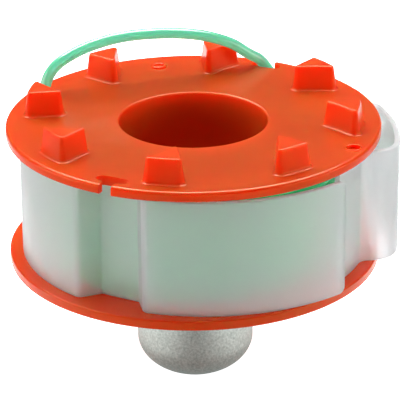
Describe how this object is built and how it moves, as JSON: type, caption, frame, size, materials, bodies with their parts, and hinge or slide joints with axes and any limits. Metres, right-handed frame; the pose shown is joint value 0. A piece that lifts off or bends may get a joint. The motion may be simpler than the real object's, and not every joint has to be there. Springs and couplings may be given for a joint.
{
  "type": "trimmer line spool",
  "caption": "Round flanged spool with ratchet-shaped drive teeth round a blind bore, green cutting line wound on its hub, a springy milky sleeve round the winding and a grey metal tap button.",
  "frame": {"origin": "centre of the tap button's flat end, on the spool's axis", "axes": "+Z along the spool's axis from the button to the toothed end, +X towards the sleeve's thumb ear, -Y towards the sleeve's pressed-in panel and free end"},
  "size_m": [0.0691, 0.0658, 0.0572],
  "materials": {
    "orange_plastic": "moulded, satin",
    "cast_metal": "grainy, matt, as cast",
    "green_line": "extruded, glossy, slightly clear",
    "milky_plastic": "milky, satin"
  },
  "bodies": {
    "root": {"spool_body": "orange_plastic", "tap_button": "cast_metal", "line_winding": "green_line", "line_tail": "green_line", "retaining_sleeve": "milky_plastic"}
  },
  "joints": []
}
